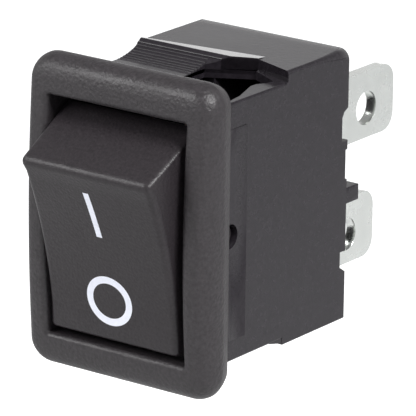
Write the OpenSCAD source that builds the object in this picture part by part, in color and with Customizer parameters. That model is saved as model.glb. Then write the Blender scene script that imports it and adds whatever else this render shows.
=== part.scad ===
// Panel rocker switch: two poles, on and off, four flat tabs.
// Frame: X across the bezel, +Y back through the panel, +Z up.
// The origin is the middle of the bezel's rear face, which sits on the panel.
// The rocker is drawn in its off position, pressed in at the bottom.

/* [Bezel] */
// Width of the bezel at its widest line
bezel_w = 15.3; // [15.1:0.1:15.4]
// Height of the bezel at its widest line
bezel_h = 21.6; // [21.4:0.1:21.8]
// Thickness of the bezel at its top and bottom edges
bezel_t = 2.65; // [2.4:0.05:2.9]
// How far the middle of the bezel's front stands ahead of its ends
bezel_arch = 0.45; // [0.3:0.05:0.6]
// Radius of the bezel's corners, seen from the front
bezel_corner_r = 1.9; // [1.5:0.1:2.2]
// Width of the opening for the rocker
opening_w = 11.4; // [11.3:0.05:11.5]
// Height of the opening for the rocker
opening_h = 16.8; // [16.7:0.05:16.9]
// Bevel round the front of the opening
opening_bevel = 0.35; // [0.2:0.05:0.4]
// Height of the two side lugs that carry the rocker
lug_h = 14.7; // [14:0.1:15]
// Reach of the lugs behind the panel face
lug_d = 3.2; // [3:0.05:3.3]

/* [Body] */
// Width of the body
body_w = 12.5; // [12.4:0.05:12.6]
// Height of the body behind the neck
body_h = 19.1; // [19:0.05:19.2]
// Depth of the body behind the panel face
body_d = 15; // [14.9:0.05:15.2]
// Height of the neck, just behind the bezel
neck_h = 18; // [17.8:0.05:18.1]
// Depth at which the neck steps out to the body
neck_d = 7.6; // [7.4:0.05:7.7]
// Thickness of the rear wall
rear_wall = 1.6; // [1.5:0.05:1.7]
// Radius of the body's long corners, seen from behind
body_corner_r = 0.6; // [0.4:0.05:0.8]
// Height across the two latch crests
latch_h = 19.4; // [19.3:0.02:19.6]
// Depth of the latch crest
latch_crest_d = 7.9; // [7.8:0.05:8]
// Pitch of the latch teeth
tooth_pitch = 0.45; // [0.4:0.05:0.6]
// Height of the latch teeth
tooth_h = 0.08; // [0.05:0.01:0.1]
// Depth of the barrier rib on the rear face
rib_d = 1.43; // [1:0.01:1.6]
// Thickness of the barrier rib
rib_t = 1.14; // [1:0.01:1.3]

/* [Rocker] */
// Width of the rocker
rocker_w = 10.8; // [10.7:0.05:10.9]
// Lean of the rocker from its middle position
rocker_tilt = 14.5; // [14:0.1:14.6]
// Distance from the pivot to the upper ridge
upper_reach = 9.1; // [9:0.02:9.12]
// Distance from the pivot to the lower ridge
lower_reach = 8.68; // [8.6:0.02:8.7]
// Angle of each ridge from the rocker's middle line
ridge_angle = 47.3; // [47:0.1:47.6]
// Hollow of the front face below the line between the ridges
face_hollow = 0.65; // [0.5:0.01:0.8]
// Flare of the two end faces
end_flare = 14.7; // [14.4:0.1:14.8]
// Depth of the two end faces
end_depth = 6.1; // [5.5:0.1:6.1]
// Depth of the pivot behind the panel face
pivot_y = 1.35; // [1.3:0.01:1.4]
// Height of the pivot from the bezel's middle
pivot_z = -0.3; // [-0.32:0.01:-0.28]
// Radius of the pivot pins
pivot_r = 0.8; // [0.7:0.01:0.8]

/* [Contacts] */
// Distance of each pole from the middle
pole_x = 2.45; // [2.4:0.01:2.5]
// Radius of the plungers
plunger_r = 1.1; // [1.05:0.01:1.1]
// Distance from the plunger tips to the blades' rocking axis, at mid travel
plunger_gap = 0.99; // [0.99:0.01:1.1]
// Radius of the plunger tips
plunger_tip_r = 0.8; // [0.7:0.01:0.85]
// Distance of the blades' rocking axis from the rear wall
blade_back = 2.4; // [2.35:0.01:2.4]
// Width of the contact blades
blade_w = 2.6; // [2.4:0.01:2.6]
// Thickness of the contact blades
blade_t = 0.4; // [0.3:0.01:0.4]
// Rise of the two wings of a contact blade
blade_rise = 14; // [13.5:0.1:14]
// Lean of the contact blades from their middle position
blade_tilt = 8; // [7.5:0.1:8]

/* [Terminals] */
// Width of the flat tabs
tab_w = 4.8; // [4.6:0.1:4.8]
// Thickness of the flat tabs
tab_t = 0.8; // [0.8:0.01:0.8]
// Depth of the tab tips behind the panel face
tab_end = 22.2; // [21.6:0.1:22.4]
// Radius of the corners at the tab tips
tab_corner_r = 1.25; // [1:0.05:1.4]
// Radius of the hole in each tab
tab_hole_r = 1.2; // [1.1:0.05:1.3]
// Distance of the hole from the tab's tip
tab_hole_in = 3.3; // [3.2:0.1:3.6]
// Height of the hole from the tab's middle line
tab_hole_z = -0.25; // [-0.3:0.05:0]
// Outer face of the common tabs
common_x = 5; // [4.95:0.01:5]
// Middle height of the common tabs
common_z = 4.6; // [4.6:0.05:4.65]
// Outer face of the load tabs
load_x = 3.55; // [3.5:0.01:3.6]
// Middle height of the load tabs
load_z = -4.85; // [-4.9:0.05:-4.85]

/* [Hidden] */
$fn = 96;

// Colours of the plastics and metals
bezel_colour = [0.32, 0.31, 0.32];
body_colour = [0.29, 0.28, 0.30];
rocker_colour = [0.26, 0.25, 0.26];
plunger_colour = [0.85, 0.84, 0.80];
tin_colour = [0.82, 0.84, 0.83];
blade_colour = [0.80, 0.52, 0.33];
silver_colour = [0.88, 0.88, 0.87];
spring_colour = [0.62, 0.63, 0.65];

// Reach of cutting shapes past the faces that they cut
cut = 1;
// Radius of the arched front, from its half height and its rise
arch_r = (pow(bezel_h / 2, 2) + pow(bezel_arch, 2)) / (2 * bezel_arch);
bezel_front = -bezel_t - bezel_arch;
opening_corner_r = 0.4;

// Middle height of the opening, of the hollow behind it and of the neck
middle_z = -0.15;
opening_top = middle_z + opening_h / 2;
opening_bottom = middle_z - opening_h / 2;

// Bezel's sections: depth ahead of the panel, and how far its sides and its ends are drawn in there
bezel_sections = [[0, 0.4, 0.4], [1.2, 0, 0], [1.7, 0.03, 0.05], [2.3, 0.18, 0.35], [2.65, 0.4, 0.85],
    [3.1, 0.9, 2.2]];
section_t = 0.02;
section_sides = 32;

// Recess in the bezel's rear face that takes the front of the body
recess_w = 12.7;
recess_h = 18.1;
recess_d = 0.3;

// Side lugs: outer face, inner face and the clearance of the pivot holes
lug_outer = 6.3;
lug_inner = 5.65;
pivot_clearance = 0.05;

// Overlap of joined solids, so that each node is one piece
lap = 0.1;

// Inside of the body: wide at the rocker, narrower behind it
wide_half = lug_inner;
wide_d = lug_d;
narrow_half = 5.1;
narrow_d = 5.3;
inner_d = body_d - rear_wall;
barrier_t = 1;
barrier_start = 6;
blade_y = inner_d - blade_back;

// Latch: inner end of its teeth, foot height and the end of its back slope
latch_end_x = -0.1;
latch_foot_z = 8.8;
latch_root = 0.15;
latch_power = 6;
latch_back_d = 9.4;
latch_start_d = 1;

// Window beside each latch, with its slanted rear edge and the ledge's inner edge
window_start = 1.2;
window_notch = [2.7, 9.3];
window_step_x = 3.1;
window_side = [[5.9, 1.2], [5.6, 3.2], [4.8, 5.5], [4.8, 6.1], [5.3, 6.8]];

// Rear edge: notches beside the tabs, and the low stretch above the rib
rib_z = -0.82;
upper_notch = [3.1, 5.2];
lower_notch = [-6.1, -4.6];
notch_d = 0.7;
low_stretch = [0.4, 2.55];
low_stretch_d = 0.3;

// Stops on the barrier for the blades' upper ends
stop_x = 1.9;
stop_y = inner_d - 3.15;
stop_z = [3.4, 4.2];

// Rocker walls
cheek_t = 0.8;
shell_t = 0.93;
face_back_y = -4.55;
boss_y = 1.9;
boss_half = 1.3;
guide_r = 1.75;
guide_bore_r = plunger_r + 0.05;
guide_end = 5.8;
guide_seat = -3.5;
web_half = 0.5;
web_end = 1.5;
pin_end_x = 5.9;

// Plungers and springs, along the rocker's own middle line
plunger_front = 1.5;
plunger_reach = blade_y - pivot_y - plunger_gap;
plunger_shoulder = plunger_reach - 1.66;
plunger_bore_r = 0.8;
plunger_bore_end = plunger_reach - 2.46;
spring_r = 0.58;
spring_wire_r = 0.13;
spring_turns = 9;
spring_sides = 6;
spring_steps = 14;

// Blades: neck at the saddle and the clearance on the rocking edge
saddle_r = 0.4;
saddle_half = 1.7;
horn_t = 0.7;
horn_reach = 1.1;
blade_clearance = 0.03;
neck_half = 0.9;
neck_reach = 0.85;
upper_wing = 4.3;
lower_wing = 5.5;
blade_hole_r = 0.5;
blade_contact_u = -4.6;
moving_head_r = 1;
moving_head_t = 0.32;
moving_dome_r = 4;
moving_dome_t = 0.12;
moving_tail_r = 0.75;
moving_tail_t = 0.22;

// Fixed contacts and the plates that carry them
plate_t = tab_t;
load_plate_y = inner_d - 2.28;
load_plate_x = 1.35;
load_plate_z = [-6.4, -3.6];
fixed_z = -5;
fixed_head_r = 1.1;
fixed_head_t = 0.5;
fixed_hole_r = 0.5;
common_foot_x = 1.15;
common_foot_top = 4.6;
common_foot_half = 0.4;

// Points of the rocker's outline, in its middle position about the pivot
upper_ridge = upper_reach * [-cos(ridge_angle), sin(ridge_angle)];
lower_ridge = lower_reach * [-cos(ridge_angle), -sin(ridge_angle)];
upper_end = upper_ridge + end_depth * [cos(end_flare), sin(end_flare)];
lower_end = lower_ridge + end_depth * [cos(end_flare), -sin(end_flare)];
face_chord = norm(upper_ridge - lower_ridge);
face_r = (pow(face_chord / 2, 2) + pow(face_hollow, 2)) / (2 * face_hollow);
face_dir = (upper_ridge - lower_ridge) / face_chord;
face_centre = (upper_ridge + lower_ridge) / 2 + (face_r - face_hollow) * [-face_dir[1], face_dir[0]];

// Height of the latch ramp at depth y
function ramp_z(y) = latch_foot_z + (latch_h / 2 - latch_foot_z) * pow(y / latch_crest_d, latch_power);

// Height of the inner side of an end wall at depth y
function inner_end(ridge, side, y) = ridge[1] - side * shell_t + side * tan(end_flare) * (y - ridge[0]);

// Point of ring i, side j, on a coil spring that runs from z = 0 to length
function coil_point(i, j, length) =
    let (turn = i / spring_steps, a = 360 * turn, b = 360 * j / spring_sides,
        r = spring_r + spring_wire_r * cos(b),
        rise = spring_wire_r + (length - 2 * spring_wire_r) * turn / spring_turns)
    [r * cos(a), r * sin(a), rise + spring_wire_r * sin(b)];

// A flat shape drawn in Y and Z, made solid from x0 to x1
module side_view(x0, x1) {
    translate([x0, 0, 0]) rotate([90, 0, 90]) linear_extrude(x1 - x0) children();
}

// A flat shape drawn in X and Z, made solid from y0 to y1
module front_view(y0, y1) {
    translate([0, y1, 0]) rotate([90, 0, 0]) linear_extrude(y1 - y0) children();
}

// A flat shape drawn in X and Y, made solid from z0 to z1
module plan_view(z0, z1) {
    translate([0, 0, z0]) linear_extrude(z1 - z0) children();
}

// A block between two corners
module block(from, to) {
    translate(from) cube(to - from);
}

// A round bar along Y, between y0 and y1
module bar_y(r, y0, y1) {
    translate([0, y0, 0]) rotate([-90, 0, 0]) cylinder(r = r, h = y1 - y0);
}

// A round bar along X, between x0 and x1
module bar_x(r, x0, x1) {
    translate([x0, 0, 0]) rotate([0, 90, 0]) cylinder(r = r, h = x1 - x0);
}

// A rectangle about the origin with round corners
module rounded_rect(w, h, r) {
    square([w - 2 * r, h], center = true);
    square([w, h - 2 * r], center = true);
    for (x = [-1, 1], y = [-1, 1])
        translate([x * (w / 2 - r), y * (h / 2 - r)]) circle(r);
}

// The children, and their mirror image in Z
module above_and_below() {
    children();
    mirror([0, 0, 1]) children();
}

// The children, and their mirror image in X
module both_sides() {
    children();
    mirror([1, 0, 0]) children();
}

// Places shapes drawn about the pivot at the rocker's off position
module on_rocker() {
    translate([0, pivot_y, pivot_z]) rotate([rocker_tilt, 0, 0]) children();
}

// Places shapes drawn about a blade's rocking axis at the off position
module on_blade(side) {
    translate([side * pole_x, blade_y, pivot_z]) rotate([-blade_tilt, 0, 0]) children();
}

// Bezel without its opening: widest ahead of the panel, rounded over to an arched front
module bezel_block() {
    intersection() {
        hull() for (s = bezel_sections)
            front_view(-s[0] - section_t, -s[0])
                rounded_rect(bezel_w - 2 * s[1], bezel_h - 2 * s[2], bezel_corner_r - s[1], $fn = section_sides);
        side_view(-bezel_w, bezel_w) translate([bezel_front + arch_r, 0]) circle(arch_r, $fn = 720);
    }
}

// Pyramid that bevels the front of the opening
module opening_lip() {
    reach = bezel_arch + cut;
    wide = opening_bevel + reach;
    y0 = -bezel_t - reach;
    y1 = -bezel_t + opening_bevel;
    w = opening_w / 2;
    intersection() {
        plan_view(-bezel_h, bezel_h) polygon([[-w - wide, y0], [w + wide, y0], [w, y1], [-w, y1]]);
        side_view(-bezel_w, bezel_w) polygon([[y0, opening_bottom - wide], [y0, opening_top + wide],
            [y1, opening_top], [y1, opening_bottom]]);
    }
}

// Bezel with the rocker's opening, and the two lugs with the pivot holes
module bezel_frame() {
    color(bezel_colour) difference() {
        union() {
            difference() {
                bezel_block();
                block([-recess_w / 2, -recess_d, middle_z - recess_h / 2],
                    [recess_w / 2, cut, middle_z + recess_h / 2]);
            }
            both_sides() block([lug_inner, -cut, pivot_z - lug_h / 2], [lug_outer, lug_d, pivot_z + lug_h / 2]);
        }
        translate([0, 0, middle_z])
            front_view(bezel_front - cut, cut) rounded_rect(opening_w, opening_h, opening_corner_r);
        opening_lip();
        translate([0, pivot_y, pivot_z]) bar_x(pivot_r + pivot_clearance, -bezel_w, bezel_w);
    }
}

// Body without its latches: a low neck behind the bezel, then the full height with round long corners
module body_block() {
    block([-body_w / 2, -recess_d, middle_z - neck_h / 2], [body_w / 2, body_d, middle_z + neck_h / 2]);
    front_view(neck_d, body_d) rounded_rect(body_w, body_h, body_corner_r);
}

// Latch from the side: a toothed ramp, a crest and a back slope
module latch_side() {
    teeth = floor((latch_crest_d - latch_start_d) / tooth_pitch);
    floor_z = latch_foot_z - latch_root;
    ramp = [for (i = [0:teeth - 1]) let (y = latch_start_d + i * tooth_pitch)
        each [[y, ramp_z(y) - tooth_h], [y, ramp_z(y)]]];
    polygon(concat([[0, floor_z], [0, latch_foot_z - tooth_h]], ramp,
        [[latch_crest_d, latch_h / 2], [latch_back_d, body_h / 2], [latch_back_d, floor_z]]));
}

// Window beside the latch, cut through the wall above the rocker
module window() {
    plan_view(latch_foot_z - latch_root - cut, latch_h / 2 + cut) polygon(concat([[latch_end_x, window_start]],
        window_side, [[window_side[4][0], neck_d], [window_step_x, neck_d], window_notch,
        [latch_end_x, neck_d]]));
}

// Hollow of the body, wide for the rocker and narrower for the contacts
module cavity() {
    plan_view(opening_bottom, opening_top) polygon([[-wide_half, -cut], [wide_half, -cut],
        [wide_half, wide_d], [narrow_half, narrow_d], [narrow_half, inner_d],
        [-narrow_half, inner_d], [-narrow_half, narrow_d], [-wide_half, wide_d]]);
}

// Slots through the rear wall for the tabs of one side
module tab_slots() {
    block([common_x - tab_t, inner_d - cut, common_z - tab_w / 2],
        [common_x, body_d + cut, common_z + tab_w / 2]);
    block([load_x - tab_t, inner_d - cut, load_z - tab_w / 2],
        [load_x, body_d + cut, load_z + tab_w / 2]);
}

// Notches in the rear edge of one side wall
module edge_notches() {
    for (z = [upper_notch, lower_notch])
        block([common_x, body_d - notch_d, z[0]], [body_w, body_d + cut, z[1]]);
    block([common_x + tab_t, body_d - low_stretch_d, low_stretch[0]],
        [body_w, body_d + cut, low_stretch[1]]);
}

// Body: neck, latches, barrier between the poles, blade stops and rear rib
module switch_body() {
    color(body_colour) {
        difference() {
            union() {
                body_block();
                above_and_below() side_view(-body_w / 2, window_notch[0]) latch_side();
            }
            cavity();
            above_and_below() window();
            both_sides() {
                tab_slots();
                edge_notches();
                block([wide_half - cut, -cut, pivot_z - lug_h / 2], [body_w, lug_d, pivot_z + lug_h / 2]);
            }
        }
        block([-barrier_t / 2, pivot_y + barrier_start, opening_bottom - lap],
            [barrier_t / 2, inner_d + lap, opening_top + lap]);
        block([-body_w / 2, body_d - notch_d, rib_z - rib_t / 2],
            [body_w / 2, body_d + rib_d, rib_z + rib_t / 2]);
        both_sides() block([0, stop_y, stop_z[0]], [stop_x, inner_d - plate_t, stop_z[1]]);
    }
}

// Outline of the rocker from the side, with its cheeks down to the pivot
module rocker_side() {
    polygon([upper_ridge, upper_end, [boss_y, boss_half], [boss_y, -boss_half], lower_end, lower_ridge]);
}

// Hollow of the rocker, open at the rear
module rocker_hollow_side() {
    back = boss_y + cut;
    polygon([
        [face_back_y, inner_end(upper_ridge, 1, face_back_y)], [back, inner_end(upper_ridge, 1, back)],
        [back, inner_end(lower_ridge, -1, back)], [face_back_y, inner_end(lower_ridge, -1, face_back_y)]]);
}

// Rocker: hollow face shell, cheeks, pivot pins and the two plunger guides
module rocker() {
    w = rocker_w / 2;
    color(rocker_colour) on_rocker() difference() {
        union() {
            difference() {
                side_view(-w, w) rocker_side();
                side_view(cheek_t - w, w - cheek_t) rocker_hollow_side();
                translate([0, face_centre[0], face_centre[1]]) bar_x(face_r, -rocker_w, rocker_w, $fn = 360);
            }
            both_sides() bar_x(pivot_r, w - cheek_t, pin_end_x);
            both_sides() translate([pole_x, 0, 0]) bar_y(guide_r, face_back_y - face_hollow / 2, guide_end);
            block([cheek_t - w, face_back_y - face_hollow / 2, -web_half], [w - cheek_t, web_end, web_half]);
        }
        both_sides() translate([pole_x, 0, 0]) bar_y(guide_bore_r, guide_seat, guide_end + cut);
    }
}

// Plunger: hollow for its spring, with a round tip
module plunger(side) {
    tip = plunger_reach - plunger_tip_r;
    color(plunger_colour) on_rocker() translate([side * pole_x, 0, 0]) difference() {
        union() {
            bar_y(plunger_r, plunger_front, plunger_shoulder);
            bar_y(plunger_tip_r, plunger_shoulder, tip);
            translate([0, tip, 0]) rotate([90, 0, 0]) sphere(plunger_tip_r);
        }
        bar_y(plunger_bore_r, plunger_front - cut, plunger_bore_end);
    }
}

// Coil spring between the rocker's seat and the plunger
module plunger_spring(side) {
    length = plunger_bore_end - guide_seat;
    last = spring_turns * spring_steps;
    points = [for (i = [0:last], j = [0:spring_sides - 1]) coil_point(i, j, length)];
    walls = [for (i = [0:last - 1], j = [0:spring_sides - 1])
        let (k = (j + 1) % spring_sides, a = i * spring_sides, b = a + spring_sides)
        each [[a + j, b + j, b + k], [a + j, b + k, a + k]]];
    ends = [[for (j = [0:spring_sides - 1]) j],
        [for (j = [spring_sides - 1:-1:0]) last * spring_sides + j]];
    color(spring_colour) on_rocker() translate([side * pole_x, guide_seat, 0]) rotate([-90, 0, 0])
        polyhedron(points, concat(walls, ends));
}

// Contact blade from the side: a shallow V, thin, that rocks on the saddle
module blade_side() {
    rise = tan(blade_rise);
    back = -saddle_r - blade_clearance;
    front = back - blade_t / cos(blade_rise);
    polygon([[back, 0], [back - rise * upper_wing, upper_wing], [front - rise * upper_wing, upper_wing],
        [front, 0], [front - rise * lower_wing, -lower_wing], [back - rise * lower_wing, -lower_wing]]);
}

// Places shapes at the blade's contact, with +Y out of its rear face
module at_blade_contact(side) {
    back = -saddle_r - blade_clearance;
    on_blade(side) translate([0, back + tan(blade_rise) * blade_contact_u, blade_contact_u])
        rotate([-blade_rise, 0, 0]) children();
}

// Contact blade: necked at the saddle, with a hole for the moving contact
module contact_blade(side) {
    color(blade_colour) difference() {
        on_blade(side) difference() {
            side_view(-blade_w / 2, blade_w / 2) blade_side();
            both_sides() block([neck_half, -blade_w, -neck_reach], [blade_w, blade_w, neck_reach]);
        }
        at_blade_contact(side) bar_y(blade_hole_r, -cut, cut);
    }
}

// Moving contact: a domed rivet through the blade
module moving_contact(side) {
    color(silver_colour) at_blade_contact(side) {
        intersection() {
            bar_y(moving_head_r, 0, cut);
            translate([0, moving_head_t + moving_dome_t - moving_dome_r, 0]) sphere(moving_dome_r);
        }
        bar_y(blade_hole_r, -blade_t, 0);
        bar_y(moving_tail_r, -blade_t - moving_tail_t, -blade_t);
    }
}

// Fixed contact: a flat rivet through the load terminal's plate
module fixed_contact(side) {
    color(silver_colour) translate([side * pole_x, 0, fixed_z]) {
        bar_y(fixed_head_r, load_plate_y - fixed_head_t, load_plate_y);
        bar_y(fixed_hole_r, load_plate_y, load_plate_y + plate_t);
    }
}

// Flat tab with a round-cornered tip and a hole, from depth y0 to its tip
module tab(outer_x, z, y0) {
    length = tab_end - y0;
    difference() {
        side_view(outer_x - tab_t, outer_x) {
            translate([y0, z - tab_w / 2]) square([length - tab_corner_r, tab_w]);
            translate([y0, z - tab_w / 2 + tab_corner_r]) square([length, tab_w - 2 * tab_corner_r]);
            for (up = [-1, 1])
                translate([tab_end - tab_corner_r, z + up * (tab_w / 2 - tab_corner_r)]) circle(tab_corner_r);
        }
        translate([0, tab_end - tab_hole_in, z + tab_hole_z]) bar_x(tab_hole_r, 0, body_w);
    }
}

// Common terminal: tab, foot on the rear wall, and the saddle for the blade
module common_terminal() {
    foot_y = inner_d - plate_t;
    saddle_z = [pivot_z - common_foot_half, pivot_z + common_foot_half];
    color(tin_colour) {
        tab(common_x, common_z, foot_y);
        block([common_foot_x, foot_y, common_z - tab_w / 2], [common_x, inner_d, common_foot_top]);
        block([common_foot_x, foot_y, saddle_z[0]], [pole_x + blade_w / 2, inner_d, common_foot_top]);
        block([pole_x - saddle_half, blade_y, saddle_z[0]], [pole_x + saddle_half, inner_d, saddle_z[1]]);
        translate([pole_x, blade_y, pivot_z]) bar_x(saddle_r, -saddle_half, saddle_half);
        for (x = [pole_x - saddle_half, pole_x + saddle_half - horn_t])
            block([x, blade_y - horn_reach, saddle_z[0]], [x + horn_t, blade_y, saddle_z[1]]);
    }
}

// Load terminal: tab that folds into the plate of the fixed contact
module load_terminal() {
    color(tin_colour) difference() {
        union() {
            tab(load_x, load_z, load_plate_y + plate_t);
            block([load_x - tab_t, load_plate_y, load_plate_z[0]], [load_x, inner_d, load_plate_z[1]]);
            block([load_plate_x, load_plate_y, load_plate_z[0]], [load_x, load_plate_y + plate_t, load_plate_z[1]]);
        }
        translate([pole_x, 0, fixed_z]) bar_y(fixed_hole_r, load_plate_y - cut, load_plate_y + plate_t + cut);
    }
}

bezel_frame();
switch_body();
rocker();
plunger(-1);  // plunger_left
plunger(1);  // plunger_right
plunger_spring(-1);  // plunger_spring_left
plunger_spring(1);  // plunger_spring_right
contact_blade(-1);  // contact_blade_left
contact_blade(1);  // contact_blade_right
moving_contact(-1);  // moving_contact_left
moving_contact(1);  // moving_contact_right
fixed_contact(-1);  // fixed_contact_left
fixed_contact(1);  // fixed_contact_right
mirror([1, 0, 0]) common_terminal();  // common_terminal_left
common_terminal();  // common_terminal_right
mirror([1, 0, 0]) load_terminal();  // load_terminal_left
load_terminal();  // load_terminal_right
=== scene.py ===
"""Dresses a small panel rocker switch: moulded bezel, rocker, body, tabs and the sprung contacts inside.

Sizes are in millimetres in the settings and in the drawing code, and become metres where a mesh is made.
"""

from math import cos, exp, pi, radians, sin, sqrt, tan

import bmesh
import bpy
from bpy.props import FloatProperty, FloatVectorProperty, IntProperty, PointerProperty
from mathutils import Matrix, Vector
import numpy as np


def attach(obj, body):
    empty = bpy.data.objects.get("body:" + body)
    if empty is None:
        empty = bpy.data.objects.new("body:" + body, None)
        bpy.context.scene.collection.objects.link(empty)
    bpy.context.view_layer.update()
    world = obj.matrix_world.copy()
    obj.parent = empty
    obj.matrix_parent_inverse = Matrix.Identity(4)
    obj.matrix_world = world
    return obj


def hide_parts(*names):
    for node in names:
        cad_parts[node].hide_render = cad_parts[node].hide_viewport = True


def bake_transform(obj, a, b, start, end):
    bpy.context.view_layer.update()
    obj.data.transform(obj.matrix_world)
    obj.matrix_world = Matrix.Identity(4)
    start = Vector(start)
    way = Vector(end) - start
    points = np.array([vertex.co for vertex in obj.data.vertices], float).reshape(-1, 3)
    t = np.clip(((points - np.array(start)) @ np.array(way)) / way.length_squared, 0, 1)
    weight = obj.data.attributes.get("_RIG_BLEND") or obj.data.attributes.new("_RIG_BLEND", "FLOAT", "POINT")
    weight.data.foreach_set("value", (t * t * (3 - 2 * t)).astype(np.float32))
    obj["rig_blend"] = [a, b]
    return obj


bl_info = {
    "name": "Panel Rocker Switch",
    "version": (1, 0, 0),
    "blender": (4, 5, 0),
    "location": "3D View > Sidebar > Switch",
    "description": "Builds the visible pieces of a small panel rocker switch on its frame",
    "category": "Object",
}

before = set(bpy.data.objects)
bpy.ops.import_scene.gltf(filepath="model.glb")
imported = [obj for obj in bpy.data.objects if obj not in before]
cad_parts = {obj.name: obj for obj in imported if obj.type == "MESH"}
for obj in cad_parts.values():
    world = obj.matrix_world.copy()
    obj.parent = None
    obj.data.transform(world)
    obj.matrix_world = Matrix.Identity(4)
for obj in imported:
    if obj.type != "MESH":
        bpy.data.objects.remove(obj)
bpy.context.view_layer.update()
MM = 0.001
PIVOT = Vector((0, 1.35, -0.3))
LEAN = 14.5  # degrees from the rocker's middle position to rest
POLE_X = 2.45  # distance of each pole's plunger, blade and tabs from the middle
SPRING_SEAT, SPRING_END = -3.5, 6.2  # ends of a plunger spring, about the pivot
FLARE = radians(14.7)  # how much the rocker's end walls spread to the rear
RIDGE_ANGLE = radians(47.3)  # angle of the ridges above and below the level, seen from the pivot
END_WALL = 6.1  # length of the rocker's end walls
BODY_TOP = 9.62  # top of the body, where a latch's back slope ends
RAMP_FOOT, RAMP_RISE, RAMP_CREST = 8.72, 0.9, 7.9  # a latch's ramp: z = foot + rise * (y / crest) ** 6
MASK_START, MASK_STOP = 0.3, 0.7  # the range of a noise mask that carries its contrast


def length(name, about, value):
    """A length setting in millimetres."""
    return FloatProperty(name=name, description=about, default=value, min=0, precision=3)


def colour(name, about, value):
    """A colour setting."""
    return FloatVectorProperty(name=name, description=about, default=value, size=3, min=0, max=1, subtype="COLOR")


def angle(name, about, degrees):
    """An angle setting, given in degrees."""
    return FloatProperty(name=name, description=about, default=radians(degrees), subtype="ANGLE")


# ---------------------------------------------------------------- settings


class BezelSettings(bpy.types.PropertyGroup):
    """Sizes of the bezel and its side lugs."""

    half_width: length("Half Width", "Half the width of the bezel at its widest line", 7.73)
    half_height: length("Half Height", "Half the height of the bezel at its widest line", 10.9)
    thickness: length("Thickness", "Thickness of the bezel at its top and bottom", 2.65)
    arch: length("Arch", "How far the middle of the front stands ahead of its ends", 0.6)
    corner: length("Corner Radius", "Radius of the corners seen from the front", 1.8)
    tuck: length("Tuck", "How far the sides draw in to the rear face", 0.44)
    widest: length("Widest Line", "Distance of the widest line ahead of the rear face", 1.25)
    round_in: length("Rounding", "How far the front rounding draws in the sides", 0.86)
    opening_half_width: length("Opening Half Width", "Half the width of the opening", 5.7)
    opening_half_height: length("Opening Half Height", "Half the height of the opening", 8.32)
    opening_drop: length("Opening Drop", "Distance of the opening's middle below the bezel's middle", 0.07)
    crown: length("Crown", "How far the front rises from its rounding to the opening", 0.07)
    lip: length("Lip Radius", "Radius of the edge round the opening", 0.4)


class RockerSettings(bpy.types.PropertyGroup):
    """Sizes of the rocker, in its own middle position about the pivot."""

    half_width: length("Half Width", "Half the width of the rocker", 5.4)
    skew: FloatProperty(name="Skew", description="Play that turns the front of the rocker to the left", default=0.033)
    draft: FloatProperty(name="Draft", description="How the sides draw in to the front", default=0.0025)
    upper_reach: length("Upper Reach", "Distance from the pivot to the upper ridge", 9.1)
    lower_reach: length("Lower Reach", "Distance from the pivot to the lower ridge", 8.68)
    hollow: length("Hollow", "Depth of the hollow in the front face", 0.65)
    ridge: length("Ridge Radius", "Radius of the two ridges", 0.55)
    bead: length("Bead", "How far the upper ridge stands proud of the face below it", 0.22)
    side_edge: length("Side Edge Radius", "Radius of the two long edges of the face", 0.5)
    wall: length("Wall", "Thickness of the end walls", 0.93)


class MarkSettings(bpy.types.PropertyGroup):
    """Sizes of the printed on and off marks."""

    aside: FloatProperty(
        name="Aside", description="Distance of the marks from the middle line, in mm", default=-0.075
    )
    bar_lean: length("Bar Lean", "How far the top of the bar leans to the left", 0.3)
    bar_middle: length("Bar Height", "Middle of the bar above the rocker's middle", 3.18)
    bar_length: length("Bar Length", "Length of the bar", 3.45)
    bar_width: length("Bar Width", "Width of the bar", 0.46)
    ring_drop: length("Ring Drop", "Distance of the ring's middle below the rocker's middle", 3.4)
    ring_width: length("Ring Width", "Width across the ring", 3.8)
    ring_height: length("Ring Height", "Height of the ring", 3.6)
    ring_line: length("Ring Line", "Width of the ring's line", 0.52)


class BodySettings(bpy.types.PropertyGroup):
    """Sizes of the body behind the bezel."""

    half_width: length("Half Width", "Half the width of the body", 6.25)
    half_height: length("Half Height", "Half the height of the body behind the neck", BODY_TOP)
    depth: length("Depth", "Depth of the body behind the panel", 15.0)
    neck_half_height: length("Neck Half Height", "Half the height of the neck", 9.0)
    neck_drop: length("Neck Drop", "Distance of the neck's middle below the bezel's middle", 0.15)
    neck_depth: length("Neck Depth", "Depth at which the neck steps out to the body", 7.6)
    front_corner: length("Front Corner", "Radius of the long corners where the body starts", 0.25)
    rear_corner: length("Rear Corner", "Radius of the upper right corner at the rear face", 0.8)
    edge: length("Edge", "Radius of the front and rear edges", 0.12)


class LatchSettings(bpy.types.PropertyGroup):
    """Ribs on the two snap latches."""

    count: IntProperty(name="Ribs", description="Number of ribs on each latch", default=21, min=2)
    first: length("First Rib", "Depth of the first rib behind the panel", 1.3)
    pitch: length("Pitch", "Distance from rib to rib", 0.31)
    radius: length("Rib Radius", "Radius of a rib", 0.07)


class SpringSettings(bpy.types.PropertyGroup):
    """Sizes of the plunger springs."""

    turns: FloatProperty(name="Turns", description="Number of turns", default=9.0, min=1)
    coil: length("Coil Radius", "Radius of the coil to the middle of the wire", 0.58)
    wire: length("Wire Radius", "Radius of the wire", 0.13)


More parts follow.
